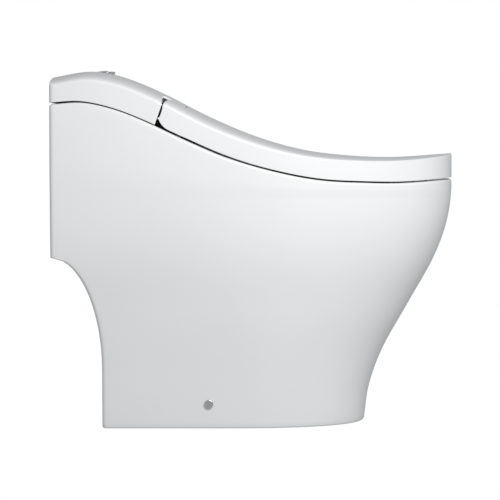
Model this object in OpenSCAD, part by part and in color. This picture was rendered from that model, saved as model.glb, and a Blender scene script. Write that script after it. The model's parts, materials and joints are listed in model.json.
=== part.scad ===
// One-piece electric bidet toilet: a skirted vitreous china body with a cistern well behind the bowl,
// and an electric bidet seat unit set into it under one flowing S-shaped top.
// X runs across the body, the nose points to -Y, +Z is up, and the origin is on the floor under the
// middle of the body. All sizes are in millimetres.

/* [Body] */
// Length from the wall side to the nose
body_length = 675; // [672:1:678]
// Width across the straight sides
body_width = 400; // [398:1:404]
// Radius of the upright corners at the wall side
corner_r = 7; // [4:1:12]
// Half-width of the foot on the floor
foot_half = 155; // [150:1:160]
// Wall thickness of the china
china_t = 12; // [11:0.5:13]

/* [Seat unit] */
// Gap between the china and the lid or the rear cover
seam_gap = 2.6; // [2:0.2:3]
// Wall thickness of the moulded covers
shell_t = 3; // [2.5:0.5:3]
// Radius of the hinge pins
pin_r = 4; // [3.5:0.5:4]
// Running clearance of a pin or a shaft in its bore
run_gap = 0.06; // [0.03:0.01:0.1]
// Downward slope of the spray wand, in degrees
wand_slope = 35; // [34:0.5:36]
// Radius of the spray wand
wand_r = 8; // [7.5:0.5:8]

/* [Flush] */
// Outer radius of the flush button's bezel
bezel_r = 17; // [16:0.5:18]
// Inner radius of the trap's waste way
trap_r = 26; // [25:0.5:27]
// Distance from the back of the body to the middle of the waste outlet
outlet_back = 295; // [293:1:297]

/* [Fixings] */
// Radius of the caps over the side fixing screws
cap_r = 7.5; // [6:0.5:8]
// Height of the side fixing screws above the floor
side_screw_z = 41; // [40:0.5:42]

/* [Hidden] */

half_w = body_width / 2;
y_rear = body_length / 2;
y_nose = -body_length / 2;

// Hinge axis of the lid and the seat, and the round barrel at the back of the lid.
hinge_y = y_rear - 200;
hinge_z = 533;
barrel_r = 14.5;
nose_r = 23;
nose_half = 129.5;
seat_ear_x = 132.5;
lid_ear_x = 152;
ear_w = 15.5;

// Levels and extents of the well, the cistern and the seat unit's tray.
well_half = 172;
well_front = y_rear - 217;
well_floor = 302;
ledge_z = 484;
ledge_half = 186;
above = 620;
tray_t = 4;
unit_z = ledge_z + tray_t;
tank_top = 476;
valve_x = 48;
valve_y = y_rear - 73.5;
rocker_x = 20;
rocker_z = 452;
button_y = y_rear - 80;
full_rod_x = 6;
half_rod_x = -6;
half_rod_y = valve_y - 15;
fan_x = 38;
fan_y = y_rear - 142;
fan_z = 532;
fan_r = 36;
rear_hole_z = 420;
rear_hole_x = 120;
rear_hole_r = 16;
side_screw_y = y_rear - 260;
tray_bolt_x = 179;
tray_bolt_y = [y_rear - 165, y_rear - 40];

// ---- curves that shape the body -------------------------------------------------------------------

// A smooth curve z(y) through knots [y, z] that are sorted by y.
function knot(k, y, i = 0) = i >= len(k) - 2 || y < k[i + 1][0] ? i : knot(k, y, i + 1);
function slope(k, i) =
    let (a = max(i - 1, 0), b = min(i + 1, len(k) - 1)) (k[b][1] - k[a][1]) / (k[b][0] - k[a][0]);
function curve(k, y) =
    let (
        yy = min(max(y, k[0][0]), k[len(k) - 1][0]),
        i = knot(k, yy),
        h = k[i + 1][0] - k[i][0],
        u = (yy - k[i][0]) / h
    )
    (2 * u ^ 3 - 3 * u ^ 2 + 1) * k[i][1] + (u ^ 3 - 2 * u ^ 2 + u) * h * slope(k, i)
    + (3 * u ^ 2 - 2 * u ^ 3) * k[i + 1][1] + (u ^ 3 - u ^ 2) * h * slope(k, i + 1);

// Top edge of the china: it dips at the bowl, rises a little at the nose and sweeps up to the wall.
seam_knots = [
    [y_nose, 414], [y_nose + 90, 408.5], [y_nose + 150, 409], [y_nose + 230, 413.5],
    [y_rear - 370, 427.5], [y_rear - 290, 450.7], [y_rear - 220, 480], [y_rear - 150, 512],
    [y_rear - 100, 530.5], [y_rear - 50, 540.5], [y_rear, 538]
];
function seam(y) = curve(seam_knots, y);

// Crown of the lid and the rear cover on the centreline.
crown_knots = [
    [y_nose, 457.5], [y_nose + 95, 451], [y_nose + 175, 453.5], [y_nose + 255, 463.5],
    [y_rear - 340, 486], [y_rear - 262, 518.5], [y_rear - 184, 558], [y_rear - 131, 581],
    [y_rear - 90, 593], [y_rear - 53, 596], [y_rear, 587]
];
function crown(y) = curve(crown_knots, y);

// How far the crease at the top of the side wall lies below the crown.
drop_knots = [
    [y_nose, 4], [y_nose + 100, 6.5], [y_nose + 250, 12], [y_rear - 340, 16], [y_rear - 250, 20],
    [y_rear, 21]
];
function drop(y) = curve(drop_knots, y);
function crease(y) = crown(y) - drop(y);

// Front of the body in side view: upright at the rim, then an S down to the foot.
front_knots = [
    [0, 149.5], [60, 140.5], [123, 117.5], [200, 74.5], [279, 30.5], [341, 8], [403, 0], [700, 0]
];
function front_y(z) = y_nose + max(0, curve(front_knots, z));

// Back of the body: upright at the wall, with an elliptical undercut above the foot for the pipes.
undercut_in = 82.5;
undercut_low = 100;
undercut_high = 286;
function back_y(z) =
    let (t = min(max((z - undercut_low) / (undercut_high - undercut_low), 0), 1))
    y_rear - undercut_in * sqrt(1 - t ^ 2) * (t < 1 ? 1 : 0);

// Half-width of the body by height.
side_knots = [
    [0, foot_half], [100, foot_half + 6], [200, half_w - 25], [300, half_w - 8], [400, half_w - 1.5],
    [460, half_w], [700, half_w]
];
function side_x(z) = min(half_w, curve(side_knots, z));
side_y = 50;
nose_power = 2.4;

// Half-width of the top's plan outline at y.
function plan_x(y) =
    y >= side_y ? half_w
    : half_w * max(0, 1 - (max(0, side_y - y) / (side_y - y_nose)) ^ nose_power) ^ (1 / nose_power);

// Surface of the lid and the rear cover.
function top_z(x, y) =
    let (u = min(1, abs(x) / max(plan_x(y), 0.01)))
    crease(y) + drop(y) * sqrt(1 - u ^ 2.2);
function barrel_z(y) =
    abs(y - hinge_y) < barrel_r ? hinge_z + sqrt(barrel_r ^ 2 - (y - hinge_y) ^ 2) : hinge_z;
function lid_z(x, y) = y > hinge_y - barrel_r / 2 ? min(top_z(x, y), barrel_z(y)) : top_z(x, y);

// Half of a plan outline, from the nose to the middle of the back. The nose is a superellipse.
nose_steps = 14;
side_steps = 6;
corner_steps = 3;
function half_outline(w, front, back, r) = [
    for (i = [0:nose_steps])
        let (a = 90 * i / nose_steps)
        [w * sin(a) ^ (2 / nose_power), side_y - (side_y - front) * cos(a) ^ (2 / nose_power)],
    for (i = [1:side_steps]) [w, side_y + (back - r - side_y) * i / side_steps],
    for (i = [1:corner_steps])
        let (a = 90 * i / corner_steps)
        [w - r + r * cos(a), back - r + r * sin(a)],
    for (s = back_shares) [(w - r) * s, back],
    [0, back]
];
back_shares = [0.93, 0.84, 0.74, 0.6, 0.35];
half_points = nose_steps + side_steps + corner_steps + len(back_shares) + 2;
function closed(half) = concat(half, [for (i = [len(half) - 2:-1:1]) [-half[i][0], half[i][1]]]);

// ---- meshes built from rings of points -------------------------------------------------------------

// The quads, as pairs of triangles, between ring j and ring k of n points each. Under splits them the other
// way, so that the underside of one skin is parallel to the top of the skin below it.
function band(n, j, k, under = false) = [
    for (i = [0:n - 1]) let (e = (i + 1) % n) each under
        ? [[j * n + i, k * n + i, j * n + e], [k * n + i, k * n + e, j * n + e]]
        : [[j * n + i, k * n + i, k * n + e], [j * n + i, k * n + e, j * n + e]]
];

// A solid from rings that all have the same number of points, with a cap at each end.
module ring_solid(rings) {
    n = len(rings[0]);
    m = len(rings);
    polyhedron(
        points = [for (r = rings) each r],
        faces = concat(
            [[for (i = [0:n - 1]) i]],
            [for (j = [0:m - 2]) each band(n, j, j + 1)],
            [[for (i = [n - 1:-1:0]) (m - 1) * n + i]]
        )
    );
}

// A closed loop of rings, such as a pipe's outside and inside or the section of a seat.
module ring_loop(rings, under_from = 999) {
    n = len(rings[0]);
    m = len(rings);
    polyhedron(
        points = [for (r = rings) each r],
        faces = [for (j = [0:m - 1]) each band(n, j, (j + 1) % m, j >= under_from)]
    );
}

function unit(v) = v / norm(v);

// Rings of radius r along a route of points, square to it. side is any direction that the route never takes.
function sweep_rings(route, r, side, n) = [
    for (i = [0:len(route) - 1])
        let (
            ahead = unit(route[min(i + 1, len(route) - 1)] - route[max(i - 1, 0)]),
            u = unit(cross(ahead, side)),
            v = cross(ahead, u)
        )
        [for (a = [0:360 / n:359]) route[i] + r * (cos(a) * u + sin(a) * v)]
];
module hose(route, r, side = [1, 0, 0], n = 10) {
    ring_solid(sweep_rings(route, r, side, n));
}
module pipe(route, r_out, r_in, side = [1, 0, 0], n = 20) {
    outside = sweep_rings(route, r_out, side, n);
    inside = sweep_rings(route, r_in, side, n);
    ring_loop(concat(outside, [for (i = [len(inside) - 1:-1:0]) inside[i]]));
}

// ---- small helpers ---------------------------------------------------------------------------------

module at_both_sides() {
    for (s = [0, 1]) mirror([s, 0, 0]) children();
}
// A box from its low corner to its high corner.
module box(low, high) {
    translate(low) cube(high - low);
}
// A cylinder along X from x0 to x1.
module rod_x(x0, x1, y, z, r) {
    translate([x0, y, z]) rotate([0, 90, 0]) cylinder(r = r, h = x1 - x0, $fn = 48);
}
// A cylinder along Y from y0 to y1.
module rod_y(y0, y1, x, z, r) {
    translate([x, y0, z]) rotate([-90, 0, 0]) cylinder(r = r, h = y1 - y0, $fn = 48);
}
module rod_z(z0, z1, x, y, r) {
    translate([x, y, z0]) cylinder(r = r, h = z1 - z0, $fn = 48);
}
// A side profile of [y, z] points, extruded along X from x0.
module profile_x(x0, w, points) {
    translate([x0, 0, 0]) rotate([90, 0, 90]) linear_extrude(w) polygon(points);
}
module open_box(low, high, t) {
    difference() {
        box(low, high);
        box([low[0] + t, low[1] + t, low[2] + t], [high[0] - t, high[1] - t, high[2] + 1]);
    }
}

// ---- china -----------------------------------------------------------------------------------------

function body_ring(z, inset = 0) =
    closed(half_outline(side_x(z) - inset, front_y(z) + inset, back_y(z) - inset, corner_r));
function body_level(z, inset = 0) = [for (p = body_ring(z, inset)) [p[0], p[1], z]];

// The bowl at height z: an egg that narrows to the sump.
sump_z = 190;
function bowl_grow(z) = min(max((z - sump_z) / 225, 0), 1) ^ 0.55;
function bowl_point(i, z, grow) =
    let (
        a = 180 * i / (half_points - 1),
        g = bowl_grow(z),
        front = -70 - 205 * g,
        back = 12 + 28 * g,
        mid = (front + back) / 2
    )
    [(42 + 92 * g + grow) * sin(a) ^ 0.9, mid - ((back - front) / 2 + grow) * cos(a)];
function bowl_ring(z_of, grow) =
    let (
        half = [
            for (i = [0:half_points - 1])
                let (y_guess = -115 - 155 * cos(180 * i / (half_points - 1)), z = z_of(y_guess))
                concat(bowl_point(i, z, grow), [z])
        ]
    )
    concat(half, [for (i = [len(half) - 2:-1:1]) [-half[i][0], half[i][1], half[i][2]]]);

// A ring on the rim's flat top, at a share t of the way from its outer edge to the bowl.
function rim_lane(t) =
    let (rim = body_ring(500), lip = bowl_ring(function(y) seam(y), 0))
    [
        for (i = [0:len(rim) - 1])
            let (y = rim[i][1] * (1 - t) + lip[i][1] * t)
            [rim[i][0] * (1 - t) + lip[i][0] * t, y, seam(y)]
    ];

// The hollow under the bowl rises on both sides of it, and stays below the well behind it.
hollow_low = sump_z - china_t;
function hollow_top(y) = 288 + 85 * min(max((10 - y) / 70, 0), 1);
rim_base = 395;
body_levels = [3, 50, 90, 130, 165, 200, 230, 254, 270, 280, 286.5, 330, 370, rim_base];
trap_in_z = 217;
valve_port_r = 30;
valve_port_deep = 8;
china_rings = concat(
    [
        for (t = [0, 0.3, 0.65, 1])
            bowl_ring(function(y) hollow_low + t * (hollow_top(y) - hollow_low), china_t)
    ],
    [[for (p = body_ring(300, china_t)) [p[0], p[1], hollow_top(p[1])]]],
    [for (z = [278, 262, 230, 180, 120, 60, 0]) body_level(z, china_t)],
    [for (z = concat([0], body_levels)) body_level(z)],
    [
        for (t = [0.3, 0.7, 1])
            [for (p = body_ring(500)) [p[0], p[1], rim_base + t * (seam(p[1]) - rim_base)]]
    ],
    [for (t = [0.35, 0.7]) rim_lane(t)],
    [for (t = [1, 0.9, 0.7, 0.45, 0.2, 0.05, 0]) bowl_ring(function(y) sump_z + t * (seam(y) - sump_z), 0)]
);

module china() {
    difference() {
        ring_solid(china_rings);
        // The well for the cistern, the ledge for the seat unit, and the slot for the wand and the duct.
        box([-well_half, well_front, well_floor], [well_half, y_rear - china_t, above]);
        box([-ledge_half, well_front - 4, ledge_z], [ledge_half, y_rear - china_t, above]);
        box([-42, 20, 398], [66, well_front + 1, above]);
        for (s = [-1, 1]) rod_y(y_rear - 20, y_rear + 1, s * rear_hole_x, rear_hole_z, rear_hole_r);
        rod_z(well_floor - valve_port_deep, well_floor + 1, valve_x, valve_y, valve_port_r);
        rod_y(5, 38, 0, trap_in_z, trap_r);
        at_both_sides() rod_x(foot_half - 25, foot_half + 20, side_screw_y, side_screw_z, 4);
        at_both_sides() for (y = tray_bolt_y) rod_z(ledge_z - 30, ledge_z + 1, tray_bolt_x, y, 3);
    }
}

// The body is one casting. It's divided at flat faces into blocks that its collision can follow: three along
// the foot, and three above them whose ends are staggered from those below.
split_z = 287.3;
foot_ends = [-60.7, 125.3];
rim_ends = [-40.3, 119.3];
module block(y0, y1, z0, z1) {
    box([-half_w - 10, y0, z0], [half_w + 10, y1, z1]);
}
module ceramic_foot() {
    color("white") intersection() {
        china();
        union() {
            block(y_nose - 10, foot_ends[0], -1, split_z);
            block(foot_ends[1], y_rear + 10, -1, split_z);
            block(rim_ends[0], rim_ends[1], split_z, above);
        }
    }
}
module ceramic_middle() {
    color("white") intersection() {
        china();
        block(foot_ends[0], foot_ends[1], -1, split_z);
    }
}
module ceramic_rim() {
    color("white") intersection() {
        china();
        union() {
            block(y_nose - 10, rim_ends[0], split_z, above);
            block(rim_ends[1], y_rear + 10, split_z, above);
        }
    }
}

// The waste way: out of the back of the sump, over the weir and down to the outlet.
outlet_y = y_rear - outlet_back;
trap_route = [
    [0, 22, trap_in_z], [0, 38, 220], [0, 58, 229], [0, 78, 240], [0, 100, 249], [0, 122, 246],
    [0, 138, 232], [0, 143, 212], [0, 137, 190], [0, 118, 165], [0, 92, 140], [0, 66, 118],
    [0, 49, 96], [0, outlet_y, 70], [0, outlet_y, 45]
];
trap_t = 8;
collar_r = 48;
collar_h = 44;
module trapway() {
    color("white") pipe(trap_route, trap_r + trap_t, trap_r);
}
module outlet_connector() {
    color("dimgray") difference() {
        union() {
            rod_z(0, 6, 0, outlet_y, collar_r + 14);
            rod_z(0, collar_h, 0, outlet_y, collar_r);
        }
        rod_z(-1, collar_h + 1, 0, outlet_y, collar_r - 7);
    }
}
module outlet_seal() {
    color("black") difference() {
        rod_z(collar_h + 1, collar_h + 11, 0, outlet_y, collar_r);
        rod_z(collar_h, collar_h + 12, 0, outlet_y, trap_r + trap_t + 0.3);
    }
}

// ---- floor fixings ---------------------------------------------------------------------------------

bracket_x = foot_half - china_t - 6;
module floor_brackets() {
    color("gray") at_both_sides() difference() {
        union() {
            box([bracket_x - 50, side_screw_y - 20, 0], [bracket_x, side_screw_y + 20, 5]);
            box([bracket_x - 5, side_screw_y - 20, 0], [bracket_x, side_screw_y + 20, side_screw_z + 14]);
        }
        rod_x(bracket_x - 6, bracket_x + 1, side_screw_y, side_screw_z, 3);
        rod_z(-1, 6, bracket_x - 30, side_screw_y, 3.5);
    }
}
module fixing_screws() {
    color("silver") at_both_sides() {
        rod_z(0.5, 7, bracket_x - 30, side_screw_y, 3.3);
        rod_z(5, 9, bracket_x - 30, side_screw_y, 7);
        rod_x(bracket_x - 14, foot_half, side_screw_y, side_screw_z, 2.95);
    }
}
module side_screw_caps() {
    color("silver") at_both_sides() union() {
        rod_x(foot_half + 2.5, foot_half + 6, side_screw_y, side_screw_z, cap_r);
        rod_x(foot_half + 0.1, foot_half + 3, side_screw_y, side_screw_z, 3.6);
    }
}

// ---- cistern ---------------------------------------------------------------------------------------

tank_half = 165;
tank_front = well_front + 47;
tank_back = y_rear - china_t - 16;
tank_t = 4;
tank_base = well_floor + 1;
tank_floor = tank_base + tank_t;
thread_r = 10.4;
module flush_tank() {
    color("gainsboro") difference() {
        open_box([-tank_half, tank_front, tank_base], [tank_half, tank_back, tank_top], tank_t);
        rod_z(tank_base - 1, tank_floor + 1, valve_x, valve_y, 24);
        rod_y(tank_back - tank_t - 1, tank_back + 1, -rear_hole_x, rear_hole_z, thread_r - 0.5);
    }
}
module tank_lid() {
    color("gainsboro") difference() {
        box([-tank_half, tank_front, tank_top], [tank_half, tank_back, tank_top + tank_t]);
        rod_z(tank_top - 1, tank_top + tank_t + 1, full_rod_x, valve_y, 5);
        rod_z(tank_top - 1, tank_top + tank_t + 1, half_rod_x, half_rod_y, 5);
    }
}
fill_x = -70;
fill_y = y_rear - 100;
fill_r = 10;
fill_head_z = 446;
float_r = 26;
float_low = 385;
float_top = fill_head_z - 3;
module fill_valve() {
    color("white") union() {
        rod_z(tank_floor, fill_head_z, fill_x, fill_y, fill_r);
        rod_z(fill_head_z, fill_head_z + 20, fill_x, fill_y, 19);
        rod_z(tank_floor, tank_floor + 6, fill_x, fill_y, 22);
        box([fill_x - 34, fill_y - 4, fill_head_z + 4], [fill_x, fill_y + 4, fill_head_z + 12]);
    }
}
module fill_valve_float() {
    color("royalblue") difference() {
        rod_z(float_low, float_top, fill_x, fill_y, float_r);
        rod_z(float_low - 1, float_top + 1, fill_x, fill_y, fill_r + run_gap);
    }
}
valve_top = 390;
lift_r = 11;
lift_top = 463;
washer_low = tank_floor + 4.3;
washer_t = 4;
rocker_pin_r = 2.5;
module flush_valve_body() {
    color("white") difference() {
        union() {
            rod_z(tank_floor, tank_floor + 4, valve_x, valve_y, 36);
            for (a = [45:90:315]) translate([valve_x, valve_y, tank_floor])
                rotate([0, 0, a]) box([30, -4, 0], [35, 4, valve_top - tank_floor]);
            box([12, valve_y - 30, valve_top - 4], [valve_x + 34, valve_y + 30, valve_top]);
            for (s = [-1, 1]) box(
                [rocker_x - 5, valve_y + s * 16 - 3, valve_top - 1],
                [rocker_x + 5, valve_y + s * 16 + 3, rocker_z + 5]
            );
            rod_y(valve_y - 18, valve_y + 18, rocker_x, rocker_z, rocker_pin_r);
        }
        rod_z(tank_floor - 1, tank_floor + 5, valve_x, valve_y, 22);
        rod_z(valve_top - 5, valve_top + 1, valve_x, valve_y, lift_r + run_gap);
    }
}
module lift_tube() {
    color("orange") difference() {
        union() {
            rod_z(washer_low, lift_top, valve_x, valve_y, lift_r);
            rod_z(lift_top - 4, lift_top, valve_x, valve_y, lift_r + 5);
            rod_z(washer_low + washer_t, washer_low + washer_t + 2.7, valve_x, valve_y, 27);
        }
        rod_z(tank_floor, lift_top + 1, valve_x, valve_y, lift_r - 3);
    }
}
module flush_washer() {
    color("black") difference() {
        rod_z(washer_low, washer_low + washer_t, valve_x, valve_y, 28);
        rod_z(washer_low - 1, washer_low + washer_t + 1, valve_x, valve_y, lift_r);
    }
}
module flush_rocker() {
    color("white") difference() {
        union() {
            box([1, valve_y - 6, rocker_z - 3], [valve_x + 2, valve_y + 6, rocker_z + 3]);
            box([valve_x - 17, valve_y - 19, rocker_z - 2], [valve_x + 12, valve_y + 19, rocker_z + 3]);
            rod_y(valve_y - 12, valve_y + 12, rocker_x, rocker_z, 5);
        }
        rod_y(valve_y - 20, valve_y + 20, rocker_x, rocker_z, rocker_pin_r + run_gap);
        rod_z(rocker_z - 4, rocker_z + 4, valve_x, valve_y, 14.5);
        box([valve_x, valve_y - 14.5, rocker_z - 4], [valve_x + 13, valve_y + 14.5, rocker_z + 4]);
    }
}

// ---- flush buttons ---------------------------------------------------------------------------------

button_top = 598.8;
button_low = button_top - 16;
button_r = 14;
dome_r = 60;
half_lower = 1;
split_y = button_y - 5;
split_gap = 0.4;
flush_rod_r = 3;
flush_rod_low = rocker_z + 4.1;
bezel_low = 571;
bezel_floor = bezel_low + 4;
bezel_top = 597.2;
module button_disc() {
    translate([0, button_y, button_top - dome_r]) intersection() {
        sphere(r = dome_r, $fn = 96);
        translate([0, 0, dome_r - 16]) cylinder(r = button_r, h = 20, $fn = 64);
    }
}
module full_flush_button() {
    color("silver") intersection() {
        button_disc();
        box([-20, split_y + split_gap, button_low - 5], [20, button_y + 20, above]);
    }
}
module half_flush_button() {
    color("silver") intersection() {
        translate([0, 0, -half_lower]) button_disc();
        box([-20, button_y - 20, button_low - 5], [20, split_y - split_gap, above]);
    }
}
module full_flush_rod() {
    color("white") rod_z(flush_rod_low, button_low, full_rod_x, valve_y, flush_rod_r);
}
module half_flush_rod() {
    color("white") rod_z(flush_rod_low, button_low - half_lower, half_rod_x, half_rod_y, flush_rod_r);
}
module button_bezel() {
    color("silver") difference() {
        union() {
            rod_z(bezel_low, bezel_top, 0, button_y, bezel_r - 1);
            rod_z(bezel_top - 1.8, bezel_top, 0, button_y, bezel_r);
        }
        rod_z(bezel_floor, above, 0, button_y, button_r + 0.25);
        rod_z(bezel_low - 1, bezel_floor + 1, full_rod_x, valve_y, flush_rod_r + 0.2);
        rod_z(bezel_low - 1, bezel_floor + 1, half_rod_x, half_rod_y, flush_rod_r + 0.2);
    }
}

// ---- rear cover ------------------------------------------------------------------------------------

// The back edge of the lid, and the front edge of the rear cover, at a share t of the side wall's height.
function lid_back(t) = hinge_y + barrel_r - 0.1 + 11.5 * (1 - t);
cover_gap = 1.5;
cover_mid = (hinge_y + y_rear) / 2;

function cover_outline(t, inset) =
    let (w = half_w - inset, f = lid_back(t) + cover_gap + inset, b = y_rear - inset, r = corner_r)
    concat(
        [for (x = [0:0.25:1]) [w * x, f]],
        [for (i = [1:7]) [w, f + (b - r - f) * i / 7]],
        [for (a = [30, 60, 90]) [w - r + r * cos(a), b - r + r * sin(a)]],
        [[w / 2, b], [0, b]]
    );
function cover_wall(t, inset) = [
    for (p = closed(cover_outline(t, inset)))
        let (low = seam(p[1]) + seam_gap)
        [p[0], p[1], low + t * (crease(p[1]) - inset - low)]
];
function cover_cap(s, inset) = [
    for (p = closed(cover_outline(1, inset)))
        let (x = p[0] * s, y = cover_mid + (p[1] - cover_mid) * s)
        [x, y, top_z(x, y) - inset]
];
cap_steps = [0.99, 0.96, 0.9, 0.8, 0.62, 0.4, 0.12];
module rear_cover() {
    color("white") difference() {
        ring_solid(concat(
            [for (i = [len(cap_steps) - 1:-1:0]) cover_cap(cap_steps[i], shell_t)],
            [for (t = [1, 0.75, 0.5, 0.25, 0]) cover_wall(t, shell_t)],
            [for (t = [0, 0.25, 0.5, 0.75, 1]) cover_wall(t, 0)],
            [for (s = cap_steps) cover_cap(s, 0)]
        ));
        rod_z(560, above, 0, button_y, bezel_r + 0.3);
        box([-ledge_half + 2, hinge_y, 470], [ledge_half - 2, hinge_y + 45, 541]);
    }
}

// The fixed nose between the lid's two hinge arms. It covers the dampers.
nose_front = hinge_y - nose_r;
nose_back = hinge_y + barrel_r;
carrier_x = 100;
module hinge_cover() {
    xs = [for (x = [-1:0.1:1]) x * nose_half];
    ys = [for (y = [0:0.125:1]) nose_front + 0.4 + (nose_back - nose_front) * y];
    color("white") union() {
        ring_solid([for (y = ys) concat(
            [for (x = xs) [x, y, top_z(x, y)]],
            [for (i = [len(xs) - 1:-1:0]) [xs[i], y, top_z(xs[i], y) - shell_t]]
        )]);
        difference() {
            rod_x(-nose_half, nose_half, hinge_y, hinge_z, nose_r);
            rod_x(-nose_half - 1, nose_half + 1, hinge_y, hinge_z, nose_r - shell_t);
            box([-200, hinge_y - 6, 500], [200, hinge_y + 30, 570]);
            box([-200, hinge_y - 40, hinge_z - 1], [200, hinge_y + 30, 570]);
        }
    }
}
module hinge_carrier() {
    color("dimgray") difference() {
        at_both_sides() {
            rod_x(carrier_x, nose_half, hinge_y, hinge_z, 8);
            profile_x(carrier_x, nose_half - carrier_x, [
                [hinge_y + 3, unit_z], [hinge_y + 34, unit_z], [hinge_y + 34, unit_z + 18],
                [hinge_y + 6, hinge_z + 5], [hinge_y - 6, hinge_z - 5]
            ]);
        }
        at_both_sides() rod_x(carrier_x - 1, nose_half + 1, hinge_y, hinge_z, pin_r);
    }
}
module hinge_pins() {
    color("silver") at_both_sides() rod_x(carrier_x, lid_ear_x + ear_w + 2, hinge_y, hinge_z, pin_r);
}
module damper(side) {
    mirror([side > 0 ? 0 : 1, 0, 0]) difference() {
        union() {
            rod_x(42, carrier_x, hinge_y, hinge_z, 9.5);
            rod_x(34, 42, hinge_y, hinge_z, 6);
        }
        for (x = [50, 90]) rod_x(x - 1, x + 1, hinge_y, hinge_z + 14, 6);
    }
}
module lid_damper() {
    color("gray") damper(1);
}
module seat_damper() {
    color("gray") damper(-1);
}

// ---- lid -------------------------------------------------------------------------------------------

lid_mid = -60;
corner_round = 13;
arm_half = seat_ear_x + ear_w + 1.5;
function lid_low(y) =
    let (d = min(max(y - (hinge_y + 13.5), 0), corner_round * 0.98))
    seam(y) + seam_gap + corner_round - sqrt(corner_round ^ 2 - d ^ 2);
function lid_edge(t) = hinge_y + barrel_r - 0.1 + 9 * (1 - t);
function lid_outline(t, inset) =
    closed(half_outline(half_w - inset, y_nose + inset, lid_edge(t) - inset, 1));
function lid_wall(t, inset) = [
    for (p = lid_outline(t, inset))
        let (low = lid_low(p[1]), high = min(crease(p[1]), barrel_z(p[1]) + (p[1] < hinge_y ? 999 : 0)))
        [p[0], p[1], low + t * (high - inset - low)]
];
function lid_cap(s, inset) = [
    for (p = lid_outline(1, inset))
        let (x = p[0] * s, y = lid_mid + (p[1] - lid_mid) * s)
        [x, y, lid_z(x, y) - inset]
];
lid_steps = [0.988, 0.965, 0.935, 0.9, 0.82, 0.62, 0.35, 0.06];
module lid_shell() {
    color("white") difference() {
        ring_solid(concat(
            [for (i = [len(lid_steps) - 1:-1:0]) lid_cap(lid_steps[i], shell_t)],
            [for (t = [1, 0.6, 0.3, 0]) lid_wall(t, shell_t)],
            [for (t = [0, 0.3, 0.6, 1]) lid_wall(t, 0)],
            [for (s = lid_steps) lid_cap(s, 0)]
        ));
        box([-nose_half - 2, nose_front - 2, 470], [nose_half + 2, hinge_y + 40, 600]);
        box([-ledge_half, hinge_y - 2, 470], [ledge_half, hinge_y + 40, hinge_z - 5]);
        box([-arm_half, hinge_y + 2, 470], [arm_half, hinge_y + 40, hinge_z + 4]);
    }
}
module lid_hinge_arms() {
    color("white") at_both_sides() difference() {
        union() {
            rod_x(lid_ear_x, lid_ear_x + ear_w, hinge_y, hinge_z, 6.5);
            profile_x(lid_ear_x, ear_w, [
                [hinge_y - 60, hinge_z - 38], [hinge_y - 4, hinge_z - 5], [hinge_y + 4, hinge_z + 4],
                [hinge_y - 3, hinge_z + 5], [hinge_y - 60, hinge_z - 26.5]
            ]);
        }
        rod_x(lid_ear_x - 1, lid_ear_x + ear_w + 1, hinge_y, hinge_z, pin_r + run_gap);
    }
}
pad_spots = [[70, y_nose + 45], [150, -120]];
module lid_bumpers() {
    color("lightgray") at_both_sides() for (p = pad_spots)
        rod_z(seam(p[1]) + 31.4, top_z(p[0], p[1]) - shell_t, p[0], p[1], 6);
}

// ---- seat ------------------------------------------------------------------------------------------

seat_back = hinge_y - 25.5;
hole_mid = -125;
function seat_outer(inset) =
    closed(half_outline(half_w - 8 - inset, y_nose + 9 + inset, seat_back - inset, 12));
function seat_hole(grow) =
    let (half = [
        for (i = [0:half_points - 1])
            let (a = 180 * i / (half_points - 1))
            [(104 + grow) * sin(a) ^ 0.95, hole_mid - (142 + grow) * cos(a)]
    ])
    closed(half);
function at_seat(points, rise) = [for (p = points) [p[0], p[1], seam(p[1]) + rise]];
function mix(a, b, t) = [for (i = [0:len(a) - 1]) a[i] * (1 - t) + b[i] * t];
// Four lanes across the seat, from its outer edge to its hole, that its three layers share.
seat_lanes = [
    seat_outer(12), mix(seat_outer(0), seat_hole(0), 0.35), mix(seat_outer(0), seat_hole(0), 0.65),
    seat_hole(12)
];
function lanes(rise) = [for (l = seat_lanes) at_seat(l, rise)];
function lanes_back(rise) = [for (i = [len(seat_lanes) - 1:-1:0]) at_seat(seat_lanes[i], rise)];
module seat_top() {
    color("white") ring_loop(concat(
        [
            at_seat(seat_outer(1), 15.4), at_seat(seat_outer(0), 20), at_seat(seat_outer(3), 26),
            at_seat(mix(seat_outer(0), seat_hole(0), 0.22), 30),
            at_seat(mix(seat_outer(0), seat_hole(0), 0.55), 28),
            at_seat(seat_hole(10), 24.5), at_seat(seat_hole(2), 21), at_seat(seat_hole(0), 15.4)
        ],
        lanes_back(15.4)
    ), 7);
}
module seat_heater() {
    color("gold") ring_loop(concat(lanes(15.2), lanes_back(14.2)), len(seat_lanes));
}
module seat_base() {
    color("white") ring_loop(concat(
        [at_seat(seat_outer(3), 6), at_seat(seat_outer(1), 8.5), at_seat(seat_outer(1), 14)],
        lanes(14),
        [at_seat(seat_hole(0), 14), at_seat(seat_hole(0), 8.5), at_seat(seat_hole(3), 6)],
        [for (t = [0.65, 0.35]) at_seat(mix(seat_outer(0), seat_hole(0), t), 6)]
    ));
}
module seat_hinge_arms() {
    color("white") at_both_sides() difference() {
        union() {
            rod_x(seat_ear_x, seat_ear_x + ear_w, hinge_y, hinge_z, 6.5);
            profile_x(seat_ear_x, ear_w, [
                [hinge_y - 40, seam(hinge_y - 40) + 7], [hinge_y - 25, seam(hinge_y - 25) + 7],
                [hinge_y + 5, hinge_z - 4], [hinge_y - 4, hinge_z + 4],
                [hinge_y - 40, seam(hinge_y - 40) + 26]
            ]);
        }
        rod_x(seat_ear_x - 1, seat_ear_x + ear_w + 1, hinge_y, hinge_z, pin_r + run_gap);
    }
}
module seat_bumpers() {
    color("lightgray") at_both_sides() for (p = [[85, y_nose + 42], [158, -90]])
        rod_z(max(seam(p[1] - 7), seam(p[1] + 7)) + 1.2, seam(p[1]) + 8, p[0], p[1], 7);
}

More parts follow.
